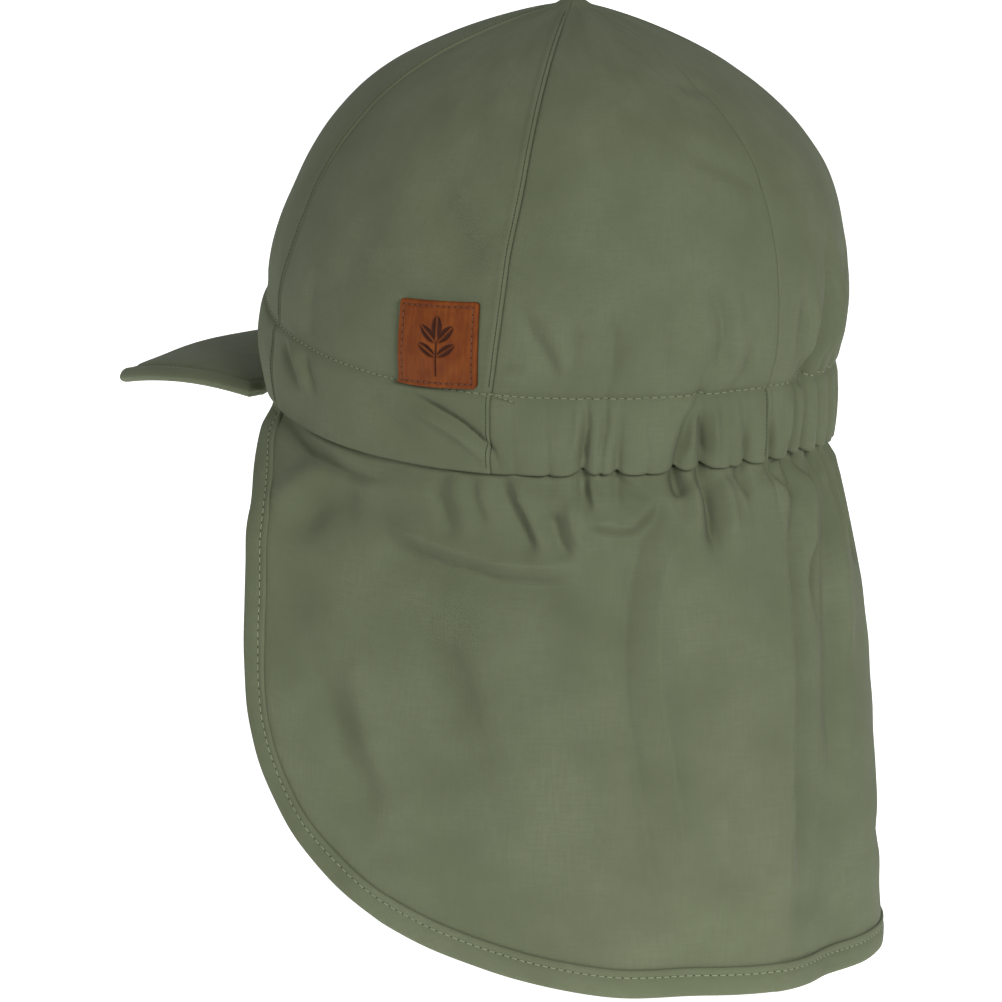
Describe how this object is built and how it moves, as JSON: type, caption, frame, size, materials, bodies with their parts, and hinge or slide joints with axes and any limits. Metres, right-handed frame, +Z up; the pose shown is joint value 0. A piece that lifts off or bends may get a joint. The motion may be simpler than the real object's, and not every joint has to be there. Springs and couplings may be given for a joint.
{
  "type": "legionnaire cap",
  "caption": "Soft child's sun cap with a domed panelled crown, short padded peak, elastic casing at the back and a long neck flap with a rounded, bound hem.",
  "frame": {"origin": "centre of the head opening, at the middle height of the rim", "axes": "+Z up, -Y to the front where the peak is, +X to the wearer's left where the patch is"},
  "size_m": [0.1766, 0.2575, 0.2631],
  "materials": {
    "cotton": "olive green woven cotton, matt",
    "binding": "olive green bias binding, matt",
    "leather": "tan brown leather with a streaky grain"
  },
  "bodies": {
    "root": {"panel_back_left": "cotton", "panel_side_left": "cotton", "panel_front_left": "cotton", "panel_front_right": "cotton", "panel_side_right": "cotton", "panel_back_right": "cotton", "peak": "cotton", "flap": "cotton", "flap_binding": "binding", "patch": "leather"}
  },
  "joints": []
}
